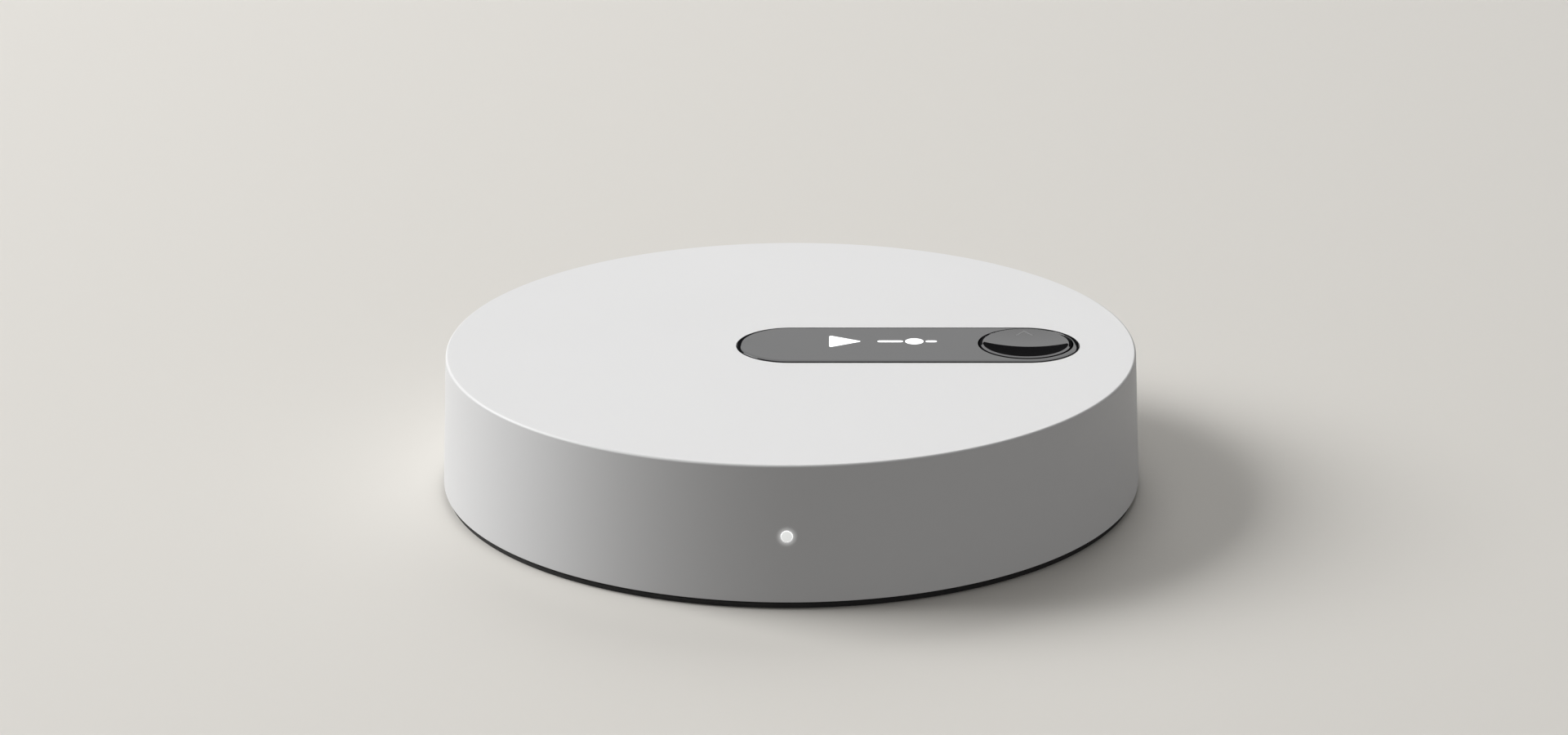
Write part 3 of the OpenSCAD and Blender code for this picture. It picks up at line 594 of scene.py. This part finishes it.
    w = shell["windowEdge"]
    flatOuter = loops[-1]
    mouthPoints = [(*stadiumPoint(d, endR + w, midX, halfLength), lidTop) for d in towards]
    for share in (0.25, 0.5, 0.75):
        loops.append(addLoop(verts, [tuple(Vector(verts[i]).lerp(Vector(p), share))
                                     for i, p in zip(flatOuter, mouthPoints)]))
    loops.append(addLoop(verts, mouthPoints))
    loops.append(pocketLoop(endR + w * 0.3, lidTop - w * 0.3))
    loops.append(pocketLoop(endR, lidTop - w))
    ledgeZ = paneLow.z - shell["glue"]
    loops.append(pocketLoop(endR, ledgeZ))
    loops.append(pocketLoop(endR - shell["ledge"], ledgeZ))
    loops.append(pocketLoop(endR - shell["ledge"], lidUnder))
    loops.append(inner[-1])
    bridge(faces, *loops)
    return makePiece("topCover", verts, faces, whiteShell, stands=["top_cover"], sharp=32.0)


topCover = buildCover()
# Painted glow on the white shell round the status light
addPaintedGlow(whiteShell, (0.0, -wallRadius(lightZ), lightZ), lightR, lightR * 2.1, 0.3)
print("top cover built:", len(topCover.data.polygons), "faces")


def buildBosses():
    bosses = dict(lidRadius=2.8 * mm, lidHole=1.13 * mm, lidCentre=53.2 * mm, lidFoot=3.5 * mm,
                  postRadius=2.3 * mm, postHole=0.83 * mm, postSink=1.6 * mm, earInset=2.4 * mm,
                  edge=0.2 * mm)
    lidUnder = lidTop - shell["lid"]
    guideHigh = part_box("nav_guide")[1]
    holderLow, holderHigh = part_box("display_holder")
    postY = guideHigh.y - bosses["postRadius"]
    panelX = (panelLow.x + panelHigh.x) / 2
    holderY = holderHigh.y - bosses["earInset"]
    parts = []

    def tube(x, y, outside, hole, low):
        edge = bosses["edge"]
        profile = [(hole, low), (outside - edge, low), (outside, low + edge), (outside, lidUnder),
                   (hole, lidUnder)]
        parts.append(latheMesh(profile, (x, y), 40, ring=True))

    for a in (45, 135, 225, 315):
        t = math.radians(a)
        tube(bosses["lidCentre"] * math.cos(t), bosses["lidCentre"] * math.sin(t),
             bosses["lidRadius"], bosses["lidHole"], bosses["lidFoot"])
    for side in (-1, 1):
        tube(navX, side * postY, bosses["postRadius"], bosses["postHole"], guideHigh.z)
        tube(panelX, side * holderY, bosses["postRadius"], bosses["postHole"],
             holderLow.z + bosses["postSink"])
    verts, faces = joinMeshes(parts)
    return makePiece("coverBosses", verts, faces, whiteShell, sharp=35.0)


buildBosses()


def buildPane():
    pane = dict(crownWidth=0.85 * mm, crownDrop=0.15 * mm, crownSteps=10, holeEdge=0.03 * mm,
                arcSteps=64, sideSteps=64, edge=0.03 * mm)
    radius = paneHigh.y
    holeR = capHigh.x - navX + buttonGap
    top, bottom = paneHigh.z, paneLow.z
    width, drop, e, h = pane["crownWidth"], pane["crownDrop"], pane["edge"], pane["holeEdge"]
    arcR = (width ** 2 + drop ** 2) / (2 * drop)
    verts, faces = [], []

    # Height of the top face: flat in the middle, falling away along an arc near the border
    def faceHeight(x, y):
        inset = radius - math.hypot(x - max(leftX, min(navX, x)), y)
        return top - arcR + math.sqrt(arcR ** 2 - max(0.0, width - max(0.0, inset)) ** 2)

    # Border points: where each one starts on the middle line, and its direction outwards
    border = []
    for angle in spread(-90, 90, pane["arcSteps"])[:-1]:
        border.append((navX, angle))
    for x in spread(navX, leftX, pane["sideSteps"])[:-1]:
        border.append((x, 90))
    for angle in spread(90, 270, pane["arcSteps"])[:-1]:
        border.append((leftX, angle))
    for x in spread(leftX, navX, pane["sideSteps"])[:-1]:
        border.append((x, 270))
    outs = [Vector((math.cos(math.radians(a)), math.sin(math.radians(a)))) for x, a in border]
    roots = [Vector((x, 0.0)) for x, a in border]

    def borderLoop(inset, z):
        return addLoop(verts, [(*(root + out * (radius - inset)), z) for root, out in zip(roots, outs)])

    loops = [borderLoop(e, bottom), borderLoop(0.0, bottom + e), borderLoop(0.0, top - drop - e)]
    for inset in spread(e, width, pane["crownSteps"]):
        points = [root + out * (radius - inset) for root, out in zip(roots, outs)]
        loops.append(addLoop(verts, [(p.x, p.y, faceHeight(p.x, p.y)) for p in points]))
    centre = Vector((navX, 0.0))
    ways = [(Vector(verts[i][:2]) - centre).normalized() for i in loops[-1]]
    for r, z in ((holeR + h, top), (holeR, top - h), (holeR, bottom + h), (holeR + h, bottom)):
        loops.append(addLoop(verts, [(*(centre + way * r), z) for way in ways]))
    bridge(faces, *loops)
    bridge(faces, loops[-1], loops[0])
    return makePiece("windowPane", verts, faces, glossPane, stands=["display_window"],
                     sharp=35.0)


buildPane()


# Thin flat-topped marks, one solid for each outline
def thinMarks(outlines, low, high):
    parts = []
    for outline in outlines:
        n = len(outline)
        verts = [(x, y, high) for x, y in outline] + [(x, y, low) for x, y in outline]
        faces = [tuple(range(n)), tuple(range(2 * n - 1, n - 1, -1))]
        faces += [(i, (i + 1) % n, n + (i + 1) % n, n + i) for i in range(n)]
        parts.append((verts, faces))
    return joinMeshes(parts)


# Lit symbol on the display: a play arrow with a progress line and its marker
def buildScreenMarks():
    marks = dict(left=6.7 * mm, centreY=1.2 * mm, arrow=6.4 * mm, arrowShape=0.9, corner=0.72 * mm,
                 space=2.0 * mm, line=0.95 * mm, length=10.4 * mm, marker=1.6 * mm, markerGap=0.35 * mm,
                 progress=0.62, sink=0.02 * mm, lift=0.015 * mm)
    left = marks["left"]
    y0 = marks["centreY"]

    def roundedTriangle():
        half, tipX = marks["arrow"] / 2, left + marks["arrow"] * marks["arrowShape"]
        corners = [Vector((left, y0 - half)), Vector((tipX, y0)), Vector((left, y0 + half))]
        points = []
        for k, corner in enumerate(corners):
            before, after = corners[k - 1], corners[(k + 1) % 3]
            a, b = (before - corner).normalized(), (after - corner).normalized()
            for t in spread(0.0, 1.0, 6):
                p = corner + a * marks["corner"] * (1 - t) ** 2 + b * marks["corner"] * t ** 2
                points.append((p.x, p.y))
        return points

    lineLeft = left + marks["arrow"] + marks["space"]
    lineRight = lineLeft + marks["length"]
    half = marks["line"] / 2
    markerX = lineLeft + marks["length"] * marks["progress"]
    gap = marks["marker"] + marks["markerGap"]

    def capsule(x0, x1):
        return (arcPoints(x1 - half, y0, half, -90, 90, 8) + arcPoints(x0 + half, y0, half, 90, 270, 8))

    outlines = [roundedTriangle(), capsule(lineLeft, markerX - gap), capsule(markerX + gap, lineRight),
                arcPoints(markerX, y0, marks["marker"], 0, 352, 44)]
    verts, faces = thinMarks(outlines, paneHigh.z - marks["sink"], paneHigh.z + marks["lift"])
    return makePiece("screenMarks", verts, faces, screenWhite)


buildScreenMarks()
print("display window built")


button = dict(
    shoulder=0.55 * mm,   # width of the slope outside the rim
    drop=0.15 * mm,
    dish=0.6 * mm,        # depth of the dish
    rimRound=0.03 * mm,
    edgeRound=0.04 * mm,
    skirt=3.9 * mm,
    skirtWall=1.25 * mm,
    roof=2.1 * mm,
    earX=3.2 * mm,        # ears for the pin
    earSize=(0.6 * mm, 1.6 * mm),
    earFoot=3.9 * mm,
    pushY=5.6 * mm,       # pushers over the mat's outer domes
    pushSize=(1.2 * mm, 0.8 * mm),
    sink=0.3 * mm,
    bevel=0.15 * mm,
)
capR = capHigh.x - navX
rimR = capR - button["shoulder"]
dishR = (rimR ** 2 + button["dish"] ** 2) / (2 * button["dish"])


def dishHeight(r):
    return capHigh.z - button["dish"] + dishR - math.sqrt(dishR ** 2 - r ** 2)


def buildButton():
    top = capHigh.z
    skirtZ = top - button["skirt"]
    roofZ = top - button["roof"]
    hollowR = capR - button["skirtWall"]
    q, s = button["rimRound"], button["edgeRound"]
    profile = [(0.0, dishHeight(0.0))]
    profile += [(r, dishHeight(r)) for r in spread(0.0, rimR - q, 30)[1:]]
    slope = button["drop"] / button["shoulder"]
    profile += [(rimR, top - q * 0.15), (rimR + q, top - q * slope - q * 0.1)]
    edgeZ = top - button["drop"]
    profile += [(r, top - (r - rimR) * slope) for r in spread(rimR + 2 * q, capR - 2 * s, 4)]
    profile += [(capR - s * 0.3, edgeZ - s * 0.3), (capR, edgeZ - s)]
    profile += [(capR, skirtZ + s), (capR - s, skirtZ), (hollowR + s, skirtZ), (hollowR, skirtZ + s),
                (hollowR, roofZ), (0.0, roofZ)]
    parts = [latheMesh(profile, (navX, 0.0), 160)]
    # Ears for the pin and the two pushers
    tipZ = capLow.z
    high = roofZ + button["sink"]

    def block(x, y, size, low):
        return boxMesh((x - size[0], y - size[1], low), (x + size[0], y + size[1], high), button["bevel"])

    for side in (-1, 1):
        parts.append(block(navX + side * button["earX"], 0.0, button["earSize"], tipZ + button["earFoot"]))
        parts.append(block(navX, side * button["pushY"], button["pushSize"], tipZ))
    verts, faces = joinMeshes(parts)
    return makePiece("selectButton", verts, faces, glossButton, "nav_cap", ["nav_cap"], 38.0)


buildButton()


# The soft mat under the button, with three domes; the real mat flattens as the button goes down
def buildKeymat():
    matLow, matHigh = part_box("nav_keymat")
    mat = dict(sheet=0.6 * mm, foot=2.6 * mm, top=1.5 * mm, spacing=5.6 * mm, edge=0.12 * mm, keep=0.83,
               sideRoom=0.32 * mm)  # sideRoom leaves the outer domes clear of the button as it rocks
    low, high, e = matLow.z, matHigh.z, mat["edge"]
    r, sheetZ, footZ = (matHigh.x - matLow.x) / 2, low + mat["sheet"], low + mat["sheet"] / 2
    sheet = [(0.0, low), (r - e, low), (r, low + e), (r, sheetZ - e), (r - e, sheetZ), (0.0, sheetZ)]
    parts = [latheMesh(sheet, (navX, 0.0), 96)]
    for k in (-1, 0, 1):
        top = high - abs(k) * mat["sideRoom"]
        dome = [(0.0, footZ), (mat["foot"], footZ), (mat["top"], top - e), (mat["top"] - e, top), (0.0, top)]
        parts.append(latheMesh(dome, (navX, k * mat["spacing"]), 48))
    verts, faces = joinMeshes(parts)
    piece = makePiece("keyMat", verts, faces, greySilicone, stands=["nav_keymat"])
    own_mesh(piece)


buildKeymat()


def buildChevron():
    chevron = dict(apex=6.6 * mm, width=2.9 * mm, height=1.8 * mm, stroke=0.3 * mm, steps=8,
                   lift=0.012 * mm, sink=0.02 * mm)
    tip = Vector((0.0, chevron["apex"]))
    feet = [Vector((side * chevron["width"] / 2, chevron["apex"] - chevron["height"])) for side in (-1, 1)]
    path = [feet[0].lerp(tip, t) for t in spread(0.0, 1.0, chevron["steps"])]
    path += [tip.lerp(feet[1], t) for t in spread(0.0, 1.0, chevron["steps"])[1:]]
    verts, loops = [], []
    for k, p in enumerate(path):
        along = (path[min(k + 1, len(path) - 1)] - path[max(k - 1, 0)]).normalized()
        before = (path[max(k, 1)] - path[max(k, 1) - 1]).normalized()
        across = Vector((-along.y, along.x)) * chevron["stroke"] / 2 / max(0.3, along.dot(before))
        ring = [(p + across, chevron["lift"]), (p - across, chevron["lift"]),
                (p - across, -chevron["sink"]), (p + across, -chevron["sink"])]
        loops.append(addLoop(verts, [(navX + q.x, q.y, dishHeight(q.length) + h) for q, h in ring]))
    faces = [tuple(loops[0]), tuple(loops[-1])]
    bridge(faces, *loops)
    return makePiece("buttonChevron", verts, faces, markGrey, "nav_cap")


buildChevron()
print("button built")


# Black rubber foot ring out to the wall's foot: real rubber, and its black band under the wall is painted
# contact shadow
def buildFoot():
    foot = dict(inner=44.0 * mm, rib=50.0 * mm, pad=1.1 * mm, edge=0.25 * mm, groove=0.35 * mm, grooves=6)
    e, g, low, high = foot["edge"], foot["groove"], footLow.z, footHigh.z
    inR, outR, padZ = foot["inner"], footHigh.x, footLow.z + foot["pad"]
    profile = [(outR - e, low), (outR - e * 0.3, low + e * 0.3), (outR, low + e), (outR, padZ - e),
               (outR - e, padZ), (foot["rib"], padZ), (foot["rib"], high), (inR, high),
               (inR, low + e), (inR + e, low)]
    for k in range(foot["grooves"]):
        r = inR + (k + 1) * (outR - inR) / (foot["grooves"] + 1)
        profile += [(r - g, low), (r - g * 0.4, low + g), (r + g * 0.4, low + g), (r + g, low)]
    verts, faces = latheMesh(profile, (0.0, 0.0), 240, ring=True)
    return makePiece("footRing", verts, faces, footRubberAndShade, stands=["foot_ring"])


buildFoot()


def buildLens():
    lens = dict(length=2.6 * mm, dome=0.06 * mm)
    tip = -wallRadius(lightZ)
    steps = spread(0.0, 1.0, 6)
    profile = [(lightR * t, lens["dome"] * (1 - t * t)) for t in steps]
    profile += [(lightR, -lens["length"]), (0.0, -lens["length"])]
    verts, faces = latheMesh(profile, (0.0, 0.0), 48)
    turned = [(x, tip - z, lightZ + y) for x, y, z in verts]
    return makePiece("lightLens", turned, faces, lightPipeLens)


buildLens()


# Finishes of the CAD nodes that stay in view or inside
finishes = {
    "base_plate": baseGrey, "base_screws": platedSteel, "port_bay": bayBlack,
    "window_adhesive": foamTape, "display_panel": displayGlass, "display_holder": darkMoulding,
    "display_screws": platedSteel, "display_flex": amberRibbon,
    "nav_pin": platedSteel, "nav_cradle": milkyAcetal, "nav_clip": platedSteel, "nav_guide": darkMoulding,
    "nav_board": greenBoard, "nav_screws": platedSteel, "nav_flex": amberRibbon,
    "main_board": greenBoard, "board_screws": platedSteel, "processor_chip": blackEpoxy,
    "thermal_pad": thermalBlue, "heat_spreader": aluminiumPlate, "memory_chips": blackEpoxy,
    "wifi_module": tinnedShield, "left_antenna": antennaGold, "right_antenna": antennaGold,
    "antenna_cables": cableJacket, "power_coils": ferriteGrey, "capacitors": canAluminium,
    "flex_connectors": milkyAcetal, "status_led": lampWhite, "light_pipe": lightPipeLens,
    "hdmi_shell": tinnedShield, "hdmi_tongue": socketBlack, "power_shell": tinnedShield,
    "power_tongue": socketBlack, "lan_jack": socketBlack, "lan_contacts": goldContact,
    "reset_button": darkMoulding, "reset_switch": tinnedShield,
}
for name, material in finishes.items():
    nodes[name].data.materials.clear()
    nodes[name].data.materials.append(material)
print("finishes given to", len(finishes), "nodes")


def buildStage():
    floor = dict(reach=4.0, colour=(0.70, 0.68, 0.64, 1.0))
    half = floor["reach"]
    mesh = bpy.data.meshes.new("floor")
    corners = [(-half, -half, 0), (half, -half, 0), (half, half, 0), (-half, half, 0)]
    mesh.from_pydata(corners, [], [(0, 1, 2, 3)])
    material, _, shader = startMaterial("paleFloor")
    shader.inputs["Base Color"].default_value = floor["colour"]
    shader.inputs["Roughness"].default_value = 0.75
    mesh.materials.append(material)
    plane = bpy.data.objects.new("floor", mesh)
    bpy.context.scene.collection.objects.link(plane)
    plane.visible_diffuse = False


def aimedArea(name, azimuth, elevation, distance, size, power, shape="RECTANGLE", glossy=True,
              target=(0, 0, 0.02)):
    a, e = math.radians(azimuth), math.radians(elevation)
    way = Vector((math.sin(a) * math.cos(e), -math.cos(a) * math.cos(e), math.sin(e)))
    data = bpy.data.lights.new(name, "AREA")
    data.shape = shape
    data.size, data.size_y = size
    data.energy = power
    lamp = bpy.data.objects.new(name, data)
    lamp.location = Vector(target) + way * distance
    lamp.rotation_euler = way.to_track_quat("Z", "Y").to_euler()
    lamp.visible_camera = False
    lamp.visible_glossy = glossy
    bpy.context.scene.collection.objects.link(lamp)
    return lamp


# A card that is brighter towards its top, so mirrored faces don't fall off where they tilt up
def gradeUpwards(lamp, low, rise):
    lamp.data.use_nodes = True
    tree = lamp.data.node_tree
    spot = addNode(tree, "ShaderNodeNewGeometry").outputs["Parametric"]
    parts = addNode(tree, "ShaderNodeSeparateXYZ")
    tree.links.new(spot, parts.inputs[0])
    strength = mathStep(tree, "ADD", mathStep(tree, "MULTIPLY", parts.outputs["Y"], rise), low)
    tree.links.new(strength, tree.nodes["Emission"].inputs["Strength"])


def buildLights():
    # Azimuth 0 is towards the viewer, -90 to the left, 180 behind
    lights = dict(
        keyLight=dict(azimuth=-105, elevation=35, distance=3.0, size=(1.75, 1.75), power=96.0),
        overhead=dict(azimuth=-120, elevation=80, distance=2.4, size=(1.0, 1.0), power=5.0, glossy=False),
        frontFill=dict(azimuth=32, elevation=22, distance=2.4, size=(1.2, 1.2), power=1.2, glossy=False),
        rearCard=dict(azimuth=177.8, elevation=37.6, distance=3.0, size=(1.90, 2.18), power=1.0,
                      shape="ELLIPSE", target=(0.04, 0, 0.025)),
    )
    rearGrade = dict(low=10.7, rise=15.3)
    made = {name: aimedArea(name, **settings) for name, settings in lights.items()}
    gradeUpwards(made["rearCard"], rearGrade["low"], rearGrade["rise"])
    buildWorld(dict(colour=(1.0, 0.985, 0.97, 1.0), seen=0.72, fill=0.205, glossy=0.012))


def buildWorld(room):
    # The room is pale to look at, a low even fill, and nearly dark where polished faces mirror it
    world = bpy.data.worlds.new("studio")
    bpy.context.scene.world = world
    world.use_nodes = True
    tree = world.node_tree
    path = addNode(tree, "ShaderNodeLightPath")
    background = tree.nodes["Background"]
    background.inputs["Color"].default_value = room["colour"]
    seen = mathStep(tree, "MULTIPLY", path.outputs["Is Camera Ray"], room["seen"] - room["fill"])
    level = mathStep(tree, "ADD", seen, room["fill"])
    gloss = mathStep(tree, "MULTIPLY", path.outputs["Is Glossy Ray"], room["fill"] - room["glossy"])
    tree.links.new(mathStep(tree, "SUBTRACT", level, gloss), background.inputs["Strength"])


def buildCamera():
    # Long lens from the front, about 19 degrees above the table and a touch to the right
    view = dict(lens=95.64, turn=0.83, place=(-1.19 * mm, -687.2 * mm, 258.6 * mm),
                aim=(-1.19 * mm, 0.0, 20.5 * mm), roll=0.267)
    t = math.radians(view["turn"])

    def turned(p):
        return Vector((p[0] * math.cos(t) - p[1] * math.sin(t),
                       p[0] * math.sin(t) + p[1] * math.cos(t), p[2]))

    data = bpy.data.cameras.new("camera")
    data.lens, data.sensor_width = view["lens"], 36.0
    data.clip_start, data.clip_end = 0.05, 20.0
    camera = bpy.data.objects.new("camera", data)
    camera.location = turned(view["place"])
    aim = (turned(view["aim"]) - camera.location).to_track_quat("-Z", "Y").to_matrix().to_4x4()
    aim = aim @ Matrix.Rotation(-math.radians(view["roll"]), 4, "Z")
    camera.rotation_euler = aim.to_euler()
    bpy.context.scene.collection.objects.link(camera)
    bpy.context.scene.camera = camera


buildStage()
buildLights()
buildCamera()
bpy.context.scene.view_settings.view_transform = "Standard"
print("stage, lights and camera ready")
